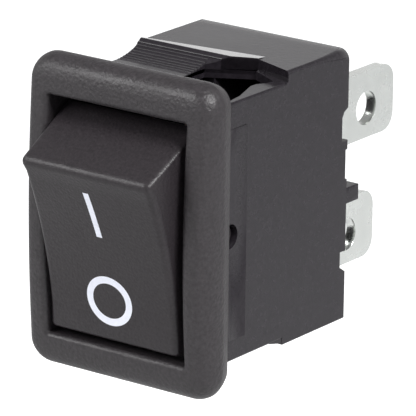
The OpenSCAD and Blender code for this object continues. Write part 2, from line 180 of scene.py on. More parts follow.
class FinishSettings(bpy.types.PropertyGroup):
    """Colours and grain of the materials."""

    bezel: colour("Bezel", "Colour of the bezel's plastic", (0.027, 0.0235, 0.0260))
    rocker: colour("Rocker", "Colour of the rocker's plastic", (0.021, 0.0175, 0.0200))
    body: colour("Body", "Colour of the body's plastic", (0.0170, 0.0145, 0.0180))
    print_white: colour("Print", "Colour of the printed marks", (0.84, 0.86, 0.95))
    tin: colour("Tin", "Colour of the tinned tabs", (0.79, 0.81, 0.785))
    copper: colour("Copper", "Colour of the contact blades", (0.80, 0.47, 0.28))
    silver: colour("Silver", "Colour of the contact rivets", (0.86, 0.86, 0.84))
    steel: colour("Steel", "Colour of the spring wire", (0.60, 0.61, 0.63))
    nylon: colour("Nylon", "Colour of the plungers", (0.80, 0.78, 0.72))
    grain: length("Grain", "Size of the grain moulded into the bezel and rocker", 0.24)


class StageSettings(bpy.types.PropertyGroup):
    """Camera, floor and light."""

    azimuth: angle("Azimuth", "Camera's angle round to the right", 36.23)
    elevation: angle("Elevation", "Camera's angle above the level", 17.53)
    roll: angle("Roll", "Camera's turn about its own axis", 0.74)
    distance: length("Distance", "Camera's distance from the point it looks at", 304.6)
    lens: FloatProperty(
        name="Lens", description="Focal length on a 36 mm sensor", default=390.6, subtype="DISTANCE_CAMERA"
    )
    floor_drop: length("Floor Drop", "Distance of the floor below the middle", 46.0)


SETTINGS = {
    "switch_bezel": BezelSettings,
    "switch_rocker": RockerSettings,
    "switch_marks": MarkSettings,
    "switch_body": BodySettings,
    "switch_latch": LatchSettings,
    "switch_spring": SpringSettings,
    "switch_finish": FinishSettings,
    "switch_stage": StageSettings,
}

# ---------------------------------------------------------------- node groups and materials


def added(tree, kind, values=None, **settings):
    """A new node with its settings made, and each input linked from a socket or set to a value."""
    node = tree.nodes.new(kind)
    for name, value in settings.items():
        setattr(node, name, value)
    for key, value in (values or {}).items():
        if isinstance(value, bpy.types.NodeSocket):
            tree.links.new(value, node.inputs[key])
        else:
            node.inputs[key].default_value = value
    return node


def new_group(name, inputs, outputs):
    """An empty shader group with float inputs (name, default) and float outputs."""
    group = bpy.data.node_groups.new(name, "ShaderNodeTree")
    for label, default in inputs:
        socket = group.interface.new_socket(name=label, in_out="INPUT", socket_type="NodeSocketFloat")
        socket.default_value = default
    for label in outputs:
        group.interface.new_socket(name=label, in_out="OUTPUT", socket_type="NodeSocketFloat")
    return group, group.nodes.new("NodeGroupInput"), group.nodes.new("NodeGroupOutput")


def one_over(tree, size):
    """A texture's scale from the size of its features."""
    return added(tree, "ShaderNodeMath", {0: 1.0, 1: size}, operation="DIVIDE").outputs[0]


def grain_group():
    """Fine moulded texture: a height for bumps, a speckle for colour and wide patches for roughness."""
    group, given, out = new_group(
        "moulded_grain", [("Size", 0.00016), ("Soft", 0.5)], ["Height", "Speckle", "Patches"]
    )
    place = added(group, "ShaderNodeTexCoord").outputs["Object"]
    scale = one_over(group, given.outputs["Size"])
    fine = added(group, "ShaderNodeTexNoise", {"Vector": place, "Scale": scale, "Detail": 3.0, "Roughness": 0.6})
    soft = given.outputs["Soft"]
    pits = added(
        group, "ShaderNodeTexVoronoi", {"Vector": place, "Scale": scale, "Smoothness": soft}, feature="SMOOTH_F1"
    )
    height = {0: pits.outputs["Distance"], 1: 0.6, 2: fine.outputs["Fac"]}
    both = added(group, "ShaderNodeMath", height, operation="MULTIPLY_ADD")
    wide = added(group, "ShaderNodeTexNoise", {"Vector": place, "Scale": 260.0, "Detail": 4.0})
    group.links.new(both.outputs[0], out.inputs["Height"])
    group.links.new(fine.outputs["Fac"], out.inputs["Speckle"])
    group.links.new(wide.outputs["Fac"], out.inputs["Patches"])
    return group


def rolled_group():
    """Rolled sheet: faint streaks along Y as a height, and a mottle as a mask."""
    group, given, out = new_group(
        "rolled_sheet", [("Streak Size", 0.00012), ("Stretch", 14.0)], ["Height", "Mottle"]
    )
    place = added(group, "ShaderNodeTexCoord").outputs["Object"]
    parts = added(group, "ShaderNodeSeparateXYZ", {0: place}).outputs
    squeeze = {0: parts["Y"], 1: given.outputs["Stretch"]}
    squeezed = added(group, "ShaderNodeMath", squeeze, operation="DIVIDE").outputs[0]
    joined = added(group, "ShaderNodeCombineXYZ", {"X": parts["X"], "Y": squeezed, "Z": parts["Z"]}).outputs[0]
    scale = one_over(group, given.outputs["Streak Size"])
    streaks = added(group, "ShaderNodeTexNoise", {"Vector": joined, "Scale": scale, "Detail": 2.0})
    mottle = added(group, "ShaderNodeTexNoise", {"Vector": place, "Scale": 700.0, "Detail": 5.0})
    group.links.new(streaks.outputs["Fac"], out.inputs["Height"])
    group.links.new(mottle.outputs["Fac"], out.inputs["Mottle"])
    return group


TEXTURES = {"moulded_grain": grain_group, "rolled_sheet": rolled_group}


def spread(tree, mask, low, high, start=MASK_START, stop=MASK_STOP):
    """Values from low to high as a mask goes from start to stop."""
    values = {"Value": mask, "From Min": start, "From Max": stop, "To Min": low, "To Max": high}
    return added(tree, "ShaderNodeMapRange", values).outputs["Result"]


def tinted(tree, mask, dark, light):
    """A colour that runs from dark to light with a mask."""
    ramp = added(tree, "ShaderNodeValToRGB", {"Fac": mask})
    for element, place, tint in zip(ramp.color_ramp.elements, (MASK_START, MASK_STOP), (dark, light)):
        element.position = place
        element.color = (*tint, 1)
    return ramp.outputs["Color"]


def new_material(name):
    """A material with its tree and its Principled shader."""
    material = bpy.data.materials.new(name)
    material.use_nodes = True
    tree = material.node_tree
    return material, tree, tree.nodes["Principled BSDF"]


def surfaced(name, texture_name, sizes, masks, colours, rough, depth):
    """A material from a texture group: its masks for colour and roughness, their ranges, and its bumps."""
    material, tree, shader = new_material(name)
    group = bpy.data.node_groups.get(texture_name) or TEXTURES[texture_name]()
    texture = added(tree, "ShaderNodeGroup", node_tree=group)
    for label, value in sizes.items():
        texture.inputs[label].default_value = value
    height = texture.outputs["Height"]
    bump = added(tree, "ShaderNodeBump", {"Strength": 1.0, "Distance": depth * MM, "Height": height})
    tree.links.new(tinted(tree, texture.outputs[masks[0]], *colours), shader.inputs["Base Color"])
    tree.links.new(spread(tree, texture.outputs[masks[1]], *rough), shader.inputs["Roughness"])
    tree.links.new(bump.outputs["Normal"], shader.inputs["Normal"])
    return material, shader


def plastic(name, base, grain, depth, rough, contrast, specular=0.5):
    """Moulded plastic: size of its grain, depth of its bumps, range of roughness and contrast of its speckle."""
    colours = [c * (1 - contrast) for c in base], [c * (1 + contrast) for c in base]
    masks = ("Speckle", "Patches")
    material, shader = surfaced(name, "moulded_grain", {"Size": grain * MM}, masks, colours, rough, depth)
    shader.inputs["Specular IOR Level"].default_value = specular
    return material


def metal(name, base, streak, stretch, depth, rough):
    """Rolled or drawn metal: size and stretch of its streaks, depth of its bumps and range of roughness."""
    colours = [c * 0.92 for c in base], base
    sizes = {"Streak Size": streak * MM, "Stretch": stretch}
    material, shader = surfaced(name, "rolled_sheet", sizes, ("Mottle", "Mottle"), colours, rough, depth)
    shader.inputs["Metallic"].default_value = 1.0
    return material


def finishes():
    """The object's materials by slot, each made once."""
    look = bpy.context.scene.switch_finish
    grain = look.grain
    recipes = {
        "bezel_plastic": (plastic, look.bezel, grain, 0.035, (0.38, 0.50), 0.35, 0.42),
        "rocker_plastic": (plastic, look.rocker, grain * 0.8, 0.020, (0.34, 0.44), 0.3, 0.35),
        "latch_plastic": (plastic, look.body, grain, 0.010, (0.42, 0.52), 0.2, 0.4),
        "body_plastic": (plastic, look.body, grain * 1.2, 0.004, (0.13, 0.19), 0.25, 0.3),
        "mark_print": (plastic, look.print_white, grain, 0.004, (0.45, 0.55), 0.04),
        "tinned_brass": (metal, look.tin, 0.12, 14.0, 0.003, (0.20, 0.32)),
        "blade_copper": (metal, look.copper, 0.10, 10.0, 0.003, (0.28, 0.40)),
        "contact_silver": (metal, look.silver, 0.20, 1.0, 0.003, (0.30, 0.42)),
        "spring_steel": (metal, look.steel, 0.08, 1.0, 0.002, (0.25, 0.38)),
        "plunger_plastic": (plastic, look.nylon, grain, 0.004, (0.40, 0.52), 0.05),
    }
    made = {}
    for slot, (make, *values) in recipes.items():
        name = f"{slot}_finish"
        made[slot] = bpy.data.materials.get(name) or make(name, *values)
    return made


# ---------------------------------------------------------------- mesh tools


def piece(name, points, faces, material, crease=35):
    """A mesh object from points in millimetres, closed, facing out, smooth up to the crease angle."""
    mesh = bpy.data.meshes.new(name)
    mesh.from_pydata([Vector(p) * MM for p in points], [], faces)
    obj = bpy.data.objects.new(name, mesh)
    bpy.context.scene.collection.objects.link(obj)
    mesh.materials.append(material)
    face_outwards(mesh)
    smooth(mesh, crease)
    return obj


def face_outwards(mesh):
    """Merges doubles and turns every face outwards."""
    bm = bmesh.new()
    bm.from_mesh(mesh)
    bmesh.ops.remove_doubles(bm, verts=bm.verts, dist=1e-7)
    bmesh.ops.recalc_face_normals(bm, faces=bm.faces)
    bm.to_mesh(mesh)
    bm.free()


def smooth(mesh, crease):
    """Shades the mesh smooth, with edges sharper than the crease angle kept."""
    mesh.shade_smooth()
    mesh.set_sharp_from_angle(angle=radians(crease))


def settled(obj):
    """Applies the object's modifiers and leaves a plain mesh."""
    bpy.context.view_layer.update()
    view = obj.evaluated_get(bpy.context.evaluated_depsgraph_get())
    mesh = bpy.data.meshes.new_from_object(view)
    mesh.name = obj.name
    obj.modifiers.clear()
    old = obj.data
    obj.data = mesh
    bpy.data.meshes.remove(old)
    return obj


def loft(rings, closed=True):
    """Faces between rings of equal length; closed joins the last ring to the first, else both ends are capped."""
    count, total = len(rings[0]), len(rings)
    points = [p for ring in rings for p in ring]
    faces = []
    for i in range(total if closed else total - 1):
        a, b = i * count, (i + 1) % total * count
        for j in range(count):
            k = (j + 1) % count
            faces.append((a + j, a + k, b + k, b + j))
    if not closed:
        faces.append(tuple(reversed(range(count))))
        faces.append(tuple(range((total - 1) * count, total * count)))
    return points, faces


def merged(parts):
    """One list of points and faces from several."""
    points, faces = [], []
    for some_points, some_faces in parts:
        base = len(points)
        points += some_points
        faces += [tuple(base + i for i in face) for face in some_faces]
    return points, faces


def rounded_outline(half_w, half_h, radius, corner=12, along=28, others=None):
    """Points (x, z) round a rectangle with round corners; others is the radius of all but the upper right one."""
    points = []
    signs = ((1, 1), (-1, 1), (-1, -1), (1, -1))
    radii = [radius] + [radius if others is None else others] * 3
    for k in range(4):
        radius = radii[k]
        cx, cz = signs[k][0] * (half_w - radius), signs[k][1] * (half_h - radius)
        for i in range(corner + 1):
            a = pi / 2 * (k + i / corner)
            points.append((cx + radius * cos(a), cz + radius * sin(a)))
        a = pi / 2 * (k + 1)
        nx, nz = signs[(k + 1) % 4]
        radius = radii[(k + 1) % 4]
        end = (nx * (half_w - radius) + radius * cos(a), nz * (half_h - radius) + radius * sin(a))
        start = points[-1]
        for i in range(1, along):
            t = i / along
            points.append((start[0] + (end[0] - start[0]) * t, start[1] + (end[1] - start[1]) * t))
    return points


def filleted(corners, steps=6):
    """Points round a polygon in a plane, each corner (a, b, radius) rounded by its radius."""
    points = []
    count = len(corners)
    for i, (a, b, radius) in enumerate(corners):
        here = Vector((a, b))
        before = Vector(corners[i - 1][:2]) - here
        after = Vector(corners[(i + 1) % count][:2]) - here
        if radius <= 0:
            points.append((here, 0.0))
            continue
        half = before.angle(after) / 2
        reach = min(radius / tan(half), before.length * 0.49, after.length * 0.49)
        real = reach * tan(half)
        centre = here + (before.normalized() + after.normalized()).normalized() * (real / sin(half))
        start = here + before.normalized() * reach - centre
        end = here + after.normalized() * reach - centre
        turn = start.angle_signed(end)
        for j in range(steps + 1):
            points.append((centre + Matrix.Rotation(-turn * j / steps, 2) @ start, real))
    return points


def lathed(profile, origin, along, steps=40):
    """A closed solid turned from (radius, distance) points about an axis."""
    axis = Vector(along).normalized()
    side = axis.orthogonal().normalized()
    other = axis.cross(side)
    turns = [2 * pi * i / steps for i in range(steps)]
    rings = []
    for radius, distance in profile:
        centre = Vector(origin) + axis * distance
        rings.append([centre + (side * cos(a) + other * sin(a)) * radius for a in turns])
    return loft(rings)


def leaning(points):
    """Turns points drawn about the pivot in the rocker's middle position to its place at rest."""
    turn = Matrix.Rotation(radians(LEAN), 3, "X")
    return [PIVOT + turn @ Vector(p) for p in points]


def solid_copy(name, node, material, width):
    """A copy of a CAD solid with its sharp edges rounded by a width."""
    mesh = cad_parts[node].data.copy()
    mesh.name = name
    obj = bpy.data.objects.new(name, mesh)
    bpy.context.scene.collection.objects.link(obj)
    mesh.materials.clear()
    mesh.materials.append(material)
    bm = bmesh.new()
    bm.from_mesh(mesh)
    bmesh.ops.remove_doubles(bm, verts=bm.verts, dist=2e-6)
    bmesh.ops.dissolve_limit(bm, angle_limit=radians(0.6), verts=bm.verts, edges=bm.edges)
    layers = bm.edges.layers.float
    weight = layers.get("bevel_weight_edge") or layers.new("bevel_weight_edge")
    for edge in bm.edges:
        if edge.is_manifold and edge.calc_face_angle(0) >= radians(28):
            edge[weight] = 1.0
    bm.to_mesh(mesh)
    bm.free()
    bevel = obj.modifiers.new("rounded", "BEVEL")
    bevel.limit_method = "WEIGHT"
    bevel.width = width * MM
    bevel.segments = 2
    bevel.use_clamp_overlap = True
    return evened(settled(obj), 40)


def seat(obj, body, slot, *nodes):
    """Puts a finished piece on its body, in place of its CAD nodes."""
    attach(obj, body)
    if nodes:
        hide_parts(*nodes)


# ---------------------------------------------------------------- bezel


def arched_ring(size, outline, depth, arched):
    """A ring (x, z) at a depth ahead of the rear face; arched is how much of the front's arch it takes."""
    return [(x, -depth - size.arch * arched * (1 - (z / size.half_height) ** 2), z) for x, z in outline]


def bezel_ring(size, inset, depth, arched):
    """One ring round the bezel's outside."""
    outline = rounded_outline(size.half_width - inset, size.half_height - inset, size.corner - inset)
    return arched_ring(size, outline, depth, arched)


def opening_ring(size, out, depth, arched):
    """One ring round the opening, this far outside it."""
    outline = rounded_outline(size.opening_half_width + out, size.opening_half_height + out, 0.12 + out)
    return arched_ring(size, [(x, z - size.opening_drop) for x, z in outline], depth, arched)


def bezel_mesh(size):
    """The bezel as one ring-shaped loft, from the opening round the outside to the front and back."""
    t, widest, lip, tuck = size.thickness, size.widest, size.lip, size.tuck
    flat, full = 0.12, radians(80)
    rings = [opening_ring(size, 0, 0, 0), bezel_ring(size, tuck + 0.12, 0, 0), bezel_ring(size, tuck + 0.04, 0.03, 0)]
    for i in range(7):
        share = i / 6
        rings.append(bezel_ring(size, tuck * (1 - share) ** 1.3, 0.1 + (widest - 0.1) * share, 0))
    for i in range(13):
        a = full * i / 12
        inset = size.round_in * (1 - cos(a)) / (1 - cos(full))
        reach = (t - widest - flat) * sin(a) / sin(full)
        rings.append(bezel_ring(size, inset, widest + flat + reach, sin(a)))
    for i in range(1, 5):
        rings.append(bezel_ring(size, size.round_in + 0.17 * i, t + size.crown * sin(pi / 2 * i / 4), 1))
    rings.append(opening_ring(size, lip * 1.3, t + size.crown, 1))
    for i in range(9):
        a = pi / 2 * i / 8
        rings.append(opening_ring(size, lip * (1 - sin(a)), t + size.crown - lip * (1 - cos(a)), 1))
    rings.append(opening_ring(size, 0, t * 0.4, 0.4))
    return loft(rings)


class SWITCH_OT_bezel(bpy.types.Operator):
    """Makes the bezel, with its arched front, and its two side lugs"""

    bl_idname = "switch.bezel"
    bl_label = "Make Bezel"

    def execute(self, context):
        size = context.scene.switch_bezel
        material = finishes()["bezel_plastic"]
        bezel = piece("bezel", *bezel_mesh(size), material)
        lugs = solid_copy("lugs", "bezel_frame", material, 0.06)
        bm = bmesh.new()
        bm.from_mesh(lugs.data)
        cut = bm.verts[:] + bm.edges[:] + bm.faces[:]
        bmesh.ops.bisect_plane(bm, geom=cut, plane_co=(0, 0.00005, 0), plane_no=(0, -1, 0), clear_outer=True)
        bmesh.ops.holes_fill(bm, edges=[e for e in bm.edges if e.is_boundary])
        bm.to_mesh(lugs.data)
        bm.free()
        smooth(lugs.data, 40)
        lugs.data.materials[0] = finishes()["body_plastic"]
        for part in (bezel, lugs):
            seat(part, "housing", "bezel_plastic", "bezel_frame")
        return {"FINISHED"}


# ---------------------------------------------------------------- rocker


def face_arc(size):
    """Centre (y, z) and radius of the hollow face, and its two ridges, about the pivot."""
    top = Vector((-cos(RIDGE_ANGLE), sin(RIDGE_ANGLE))) * size.upper_reach
    low = Vector((-cos(RIDGE_ANGLE), -sin(RIDGE_ANGLE))) * size.lower_reach
    chord = (top - low).length
    radius = ((chord / 2) ** 2 + size.hollow**2) / (2 * size.hollow)
    along = (top - low) / chord
    centre = (top + low) / 2 + (radius - size.hollow) * Vector((-along[1], along[0]))
    return centre, radius, top, low


def face_depth(size, z):
    """Depth of the hollow face at a height, about the pivot; it starts a little behind the upper ridge."""
    centre, radius, top, _ = face_arc(size)
    below = max(0, top[1] - z)
    bead = size.bead * (1 - exp(-2 * below)) * exp(-below / 3)
    return centre[0] + sqrt(radius**2 - (z - centre[1]) ** 2) + bead


def skewed(size, x, y):
    """Where a point across the rocker lies, at a depth about the pivot."""
    return x * (1 + size.draft * y) + size.skew * y


def rocker_outline(size):
    """Side view of the rocker: each point, its normal, whether it is on the front, and its corner's radius."""
    _, _, top, low = face_arc(size)
    top_end = top + END_WALL * Vector((cos(FLARE), sin(FLARE)))
    low_end = low + END_WALL * Vector((cos(FLARE), -sin(FLARE)))
    corners = [(1.9, 1.3, 0.3), (*top_end, 0.15), (*top, size.ridge)]
    for i in range(2, 22):
        z = top[1] + (low[1] - top[1]) * i / 24
        corners.append((face_depth(size, z), z, 0))
    corners += [(*low, size.ridge * 0.7), (*low_end, 0.15), (1.9, -1.3, 0.3)]
    rounded = filleted(corners)
    count = len(rounded)
    outline = []
    for i, (point, radius) in enumerate(rounded):
        along = (rounded[(i + 1) % count][0] - rounded[i - 1][0]).normalized()
        inward = Vector((along[1], -along[0]))
        front = point[0] < -1.0
        outline.append((point, inward, front, radius))
    return outline


def rocker_mesh(size):
    """The rocker's outer skin: its side view carried across X, drawn in along the two long edges."""
    outline = rocker_outline(size)
    middle = Vector((-2, 0))
    sign = 1 if (middle - outline[3][0]).dot(outline[3][1]) > 0 else -1
    steps = 6
    levels = []
    for i in range(steps + 1):
        a = pi / 2 * i / steps
        levels.append((size.half_width - size.side_edge * (1 - cos(a)), 1 - sin(a)))
    across = [(-x, d) for x, d in levels] + [(x, d) for x, d in reversed(levels)]
    rings = []
    for x, share in across:
        ring = []
        for point, inward, front, radius in outline:
            limit = size.side_edge if front else 0.08
            if radius:
                limit = min(limit, radius * 0.8)
            moved = point + inward * sign * limit * share
            ring.append((skewed(size, x, moved[0]), moved[0], moved[1]))
        rings.append(ring)
    return loft(rings, closed=False)


def prism(outline, x0, x1):
    """A closed bar with its outline in (y, z)."""
    return loft([[(x, y, z) for y, z in outline] for x in (x0, x1)], closed=False)


def rocker_hollow(size):
    """The space inside the rocker, open to the rear."""
    _, _, top, low = face_arc(size)
    slope = tan(FLARE)
    back, front = 3.0, -4.55
    high = [(y, top[1] - size.wall + slope * (y - top[0])) for y in (front, back)]
    bottom = [(y, low[1] + size.wall - slope * (y - low[0])) for y in (back, front)]
    half = size.half_width - 0.8
    return prism(high + bottom, -half, half)


def rocker_inside():
    """The two plunger guides, the pivot pins and the web that carries them, as points and faces."""
    bore, tube = 1.15, 1.75
    back, front, mouth = SPRING_SEAT, -4.8, 5.8
    guide = [(bore, back), (bore, mouth - 0.1), (bore + 0.1, mouth), (tube - 0.1, mouth), (tube, mouth - 0.1)]
    guide += [(tube, front), (0.001, front), (0.001, back)]
    pin = [(0.001, 4.5), (0.8, 4.5), (0.8, 5.75), (0.68, 5.88), (0.001, 5.88)]
    web = [(front, -0.5), (1.5, -0.5), (1.5, 0.5), (front, 0.5)]
    parts = []
    for side in (-1, 1):
        parts.append(lathed(guide, (side * POLE_X, 0, 0), (0, 1, 0)))
        parts.append(lathed(pin, (0, 0, 0), (side, 0, 0)))
    for x0, x1 in ((-4.6, -3.9), (-1.0, 1.0), (3.9, 4.6)):
        parts.append(prism(web, x0, x1))
    return merged(parts)


class SWITCH_OT_rocker(bpy.types.Operator):
    """Makes the rocker: hollow shell with a dished face, pivot pins and the two plunger guides"""

    bl_idname = "switch.rocker"
    bl_label = "Make Rocker"

    def execute(self, context):
        size = context.scene.switch_rocker
        material = finishes()["rocker_plastic"]
        points, faces = rocker_mesh(size)
        shell = piece("rocker_shell", leaning(points), faces, material)
        points, faces = rocker_hollow(size)
        hollow = piece("rocker_hollow", leaning(points), faces, material)
        carve = shell.modifiers.new("hollow", "BOOLEAN")
        carve.operation, carve.object, carve.solver = "DIFFERENCE", hollow, "EXACT"
        settled(shell)
        bpy.data.objects.remove(hollow)
        smooth(shell.data, 32)
        points, faces = rocker_inside()
        inner = piece("rocker_guides", leaning(points), faces, material)
        for part in (shell, inner):
            seat(part, "rocker", "rocker_plastic", "rocker")
        return {"FINISHED"}


# ---------------------------------------------------------------- printed marks


def on_face(size, x, z, proud):
    """A point on the hollow face, standing proud of it."""
    depth = face_depth(size, z) - proud
    return (skewed(size, x, depth), depth, z)


class SWITCH_OT_marks(bpy.types.Operator):
    """Prints the bar for on and the ring for off on the rocker's face"""

    bl_idname = "switch.marks"
    bl_label = "Print Marks"

    def execute(self, context):
        size, mark = context.scene.switch_rocker, context.scene.switch_marks
        layers = (-0.05, 0.012)  # the print's underside, below the face, and its top
        steps = 96
        rings = []
        for proud, inner in ((layers[0], False), (layers[1], False), (layers[1], True), (layers[0], True)):
            line = mark.ring_line if inner else 0
            ring = []
            for i in range(steps):
                a = 2 * pi * i / steps
                x = mark.aside + (mark.ring_width / 2 - line) * cos(a)
                z = -mark.ring_drop + (mark.ring_height / 2 - line) * sin(a)
                ring.append(on_face(size, x, z, proud))
            rings.append(ring)
        ring_part = loft(rings)
        along, half = 16, mark.bar_width / 2
        rings = []
        for i in range(along + 1):
            z = mark.bar_middle - mark.bar_length / 2 + mark.bar_length * i / along
            middle = mark.aside - mark.bar_lean * i / along
            corners = ((-half, layers[0]), (half, layers[0]), (half, layers[1]), (-half, layers[1]))
            rings.append([on_face(size, middle + x, z, proud) for x, proud in corners])
        bar_part = loft(rings, closed=False)
        points, faces = merged([ring_part, bar_part])
        marks = piece("printed_marks", leaning(points), faces, finishes()["mark_print"])
        seat(marks, "rocker", "rocker_plastic")
        return {"FINISHED"}


# ---------------------------------------------------------------- body and latches


def rounded_block(low, high, edge, steps=4):
    """A block between two corners with its edges rounded, as a loft along Y."""
    low, high = Vector(low), Vector(high)
    half, middle = (high - low) / 2, (high + low) / 2
    rings = []
    for end in (-1, 1):
        for i in range(steps + 1):
            a = pi / 2 * (i if end < 0 else steps - i) / steps
            inset = edge * (1 - sin(a))
            y = middle.y + end * (half.y - edge * (1 - cos(a)))
            ring = rounded_outline(half.x - inset, half.z - inset, max(edge * 1.01 - inset, 0.004), 4, 2)
            rings.append([(middle.x + x, y, middle.z + z) for x, z in ring])
    return loft(rings, closed=False)


def plan_block(outline, z0, z1):
    """A closed block with its outline in (x, y)."""
    return loft([[(x, y, z) for x, y in outline] for z in (z0, z1)], closed=False)


def carved(obj, cutters, joined=()):
    """Joins closed blocks, given as points and faces, to an object, cuts others out, and evens its shading."""
    blocks = []
    for operation, given in (("UNION", joined), ("DIFFERENCE", cutters)):
        for points, faces in given:
            block = piece(f"cutter_{len(blocks)}", points, faces, obj.data.materials[0])
            cut = obj.modifiers.new("cut", "BOOLEAN")
            cut.operation, cut.object, cut.solver = operation, block, "EXACT"
            blocks.append(block)
    settled(obj)
    for block in blocks:
        bpy.data.objects.remove(block)
    return evened(obj)


def evened(obj, crease=30):
    """Smooth shading that leaves flat faces flat."""
    smooth(obj.data, crease)
    even = obj.modifiers.new("even", "WEIGHTED_NORMAL")
    even.keep_sharp = True
    return settled(obj)


def block_rings(size):
    """The body behind its neck: sharp, with one long corner that grows rounder to the rear."""
    rings = []
    edge, front, rear = size.edge, size.neck_depth, size.depth
    rounding_start = 9.5
    stops = [(front, edge, 0), (front + 0.04, edge * 0.3, 0), (front + edge, 0, 0)]
    stops += [(9 + i, 0, 0) for i in range(6)]
    stops += [(rear - edge * 0.8, 0, 0), (rear - 0.02, edge * 0.35, edge * 0.35), (rear, edge, edge)]
    for y, inset, aside in stops:
        share = max(0, (y - rounding_start) / (rear - rounding_start)) ** 2.2
        radius = size.front_corner + (size.rear_corner - size.front_corner) * share - inset
        half_w, half_h, others = size.half_width - aside, size.half_height - inset, 0.1 - inset * 0.5
        outline = rounded_outline(half_w, half_h, radius, 8, 3, others)
        rings.append([(x, y, z) for x, z in outline])
    return rings


def latch_block(up):
    """One latch: a smooth ramp under the ribs, a round crest and a back slope."""
    foot = 8.6
    rise = [(0.4, foot), (0.4, 8.7)]
    rise += [(y, RAMP_FOOT + RAMP_RISE * (y / RAMP_CREST) ** 6) for y in (2, 3.5, 4.5, 5.3, 6, 6.5, 7, 7.4)]
    rise += [(7.78, 9.63), (7.88, 9.74), (7.96, 9.78), (8.03, 9.775)]
    rings = []
    for x, drop, reach in ((-6.24, 0.04, 8.6), (-6.2, 0, 8.6), (2.95, 0, 9.75)):
        line = rise + [(reach, BODY_TOP + 0.003), (reach + 0.05, 9.5), (reach + 0.05, foot)]
        rings.append([(x, y, up * (z - drop)) for y, z in line])
    return loft(rings, closed=False)


def window_cutters(up):
    """The window beside a latch and, above only, the slanted step behind it."""
    through = [(-0.1, 1.2), (5.9, 1.2), (5.6, 3.2), (4.8, 5.5), (4.8, 6.1)]
    through += [(5.2, 6.8), (5.3, 7.4), (2.9, 8.7), (-0.1, 7.0)]
    above = [(-0.1, 7.0), (2.6, 8.75), (2.9, 8.92), (3.2, 8.9), (6.5, 7.72), (6.5, 6.5), (-0.1, 6.5)]
    cutters = [plan_block(through, *sorted((up * 7.65, up * 10.7)))]
    return cutters + [plan_block(above, 8.86, 10.7)] if up > 0 else cutters


def body_cutters():
    """What is cut from the body: the cavity, the windows, the rear edges' notches and the lugs' pockets."""
    hollow = [(-5.65, -1), (5.65, -1), (5.65, 3.2), (5.1, 5.3)]
    hollow += [(5.1, 13.4), (-5.1, 13.4), (-5.1, 5.3), (-5.65, 3.2)]
    cutters = [plan_block(hollow, -8.55, 8.25)] + window_cutters(1) + window_cutters(-1)
    upper = [(14.25, 3.2), (14.25, 4.9), (14.47, 5.3), (15.4, 5.75), (15.4, 3.2)]
    lower = [(14.3, -4.7), (15.4, -4.7), (15.4, -6.6), (15.05, -6.3), (14.3, -5.8)]
    middle = [(14.72, 0.4), (14.72, 2.55), (15.4, 2.6), (15.4, 0.4)]
    pocket = [(-1, -7.64), (3.19, -7.64), (3.19, 7.04), (-1, 7.04)]
    for side in (-1, 1):
        cutters += [prism(outline, *sorted((side * 5.0, side * 7))) for outline in (upper, lower, middle)]
    return cutters + [prism(pocket, *ends) for ends in ((4.65, 7), (-7, -4.65))]


def inner_blocks():
    """The barrier rib at the rear, the wall and the stop between the poles, and the small ramp below."""
    ramp = [(6.2, -9.0), (6.2, -9.15), (7.4, -9.43), (8.3, -9.53), (8.6, -9.4), (8.6, -9.0)]
    return [
        rounded_block((-6.24, 14.8, -1.39), (6.24, 16.43, -0.25), 0.08),
        rounded_block((-0.5, 7.35, -8.65), (0.5, 13.5, 8.35), 0.05),
        rounded_block((-1.9, 10.25, 3.4), (1.9, 12.6, 4.2), 0.05),
        prism(ramp, 5.3, 6.22),
    ]


class SWITCH_OT_body(bpy.types.Operator):
    """Makes the body: neck, deep rear part, latches with their windows, barrier and rib"""

    bl_idname = "switch.body"
    bl_label = "Make Body"

    def execute(self, context):
        size = context.scene.switch_body
        material = finishes()["body_plastic"]
        half_w, half_h, drop = size.half_width, size.neck_half_height, size.neck_drop
        neck = rounded_block((-half_w, -0.25, -half_h - drop), (half_w, 7.8, half_h - drop), 0.16)
        block = piece("body", *loft(block_rings(size), closed=False), material)
        parts = [carved(block, body_cutters(), [neck])]
        for up, name in ((1, "latch_upper"), (-1, "latch_lower")):
            parts.append(carved(piece(name, *latch_block(up), material), window_cutters(up)))
        parts.append(evened(piece("body_barriers", *merged(inner_blocks()), material)))
        for part in parts:
            seat(part, "housing", "body_plastic", "switch_body")
        return {"FINISHED"}


# ---------------------------------------------------------------- latch ribs


def geometry_tree(name, inputs):
    """An empty Geometry Nodes tree with named inputs (label, kind, default)."""
    tree = bpy.data.node_groups.new(name, "GeometryNodeTree")
    for label, kind, default in inputs:
        socket = tree.interface.new_socket(name=label, in_out="INPUT", socket_type=kind)
        if default is not None:
            socket.default_value = default
    tree.interface.new_socket(name="Geometry", in_out="OUTPUT", socket_type="NodeSocketGeometry")
    return tree, tree.nodes.new("NodeGroupInput"), tree.nodes.new("NodeGroupOutput")


def grown(name, tree, values):
    """A plain mesh object grown by a Geometry Nodes tree with these input values."""
    obj = bpy.data.objects.new(name, bpy.data.meshes.new(name))
    bpy.context.scene.collection.objects.link(obj)
    modifier = obj.modifiers.new(name, "NODES")
    modifier.node_group = tree
    for item in tree.interface.items_tree:
        if item.in_out == "INPUT" and item.name in values:
            modifier[item.identifier] = values[item.name]
    return settled(obj)


def painted(tree, geometry, given, out):
    """Makes the geometry real, gives it the material and puts it out."""
    real = added(tree, "GeometryNodeRealizeInstances", {"Geometry": geometry}).outputs[0]
    material = given.outputs["Material"]
    paint = added(tree, "GeometryNodeSetMaterial", {"Geometry": real, "Material": material})
    tree.links.new(paint.outputs["Geometry"], out.inputs["Geometry"])
    return tree


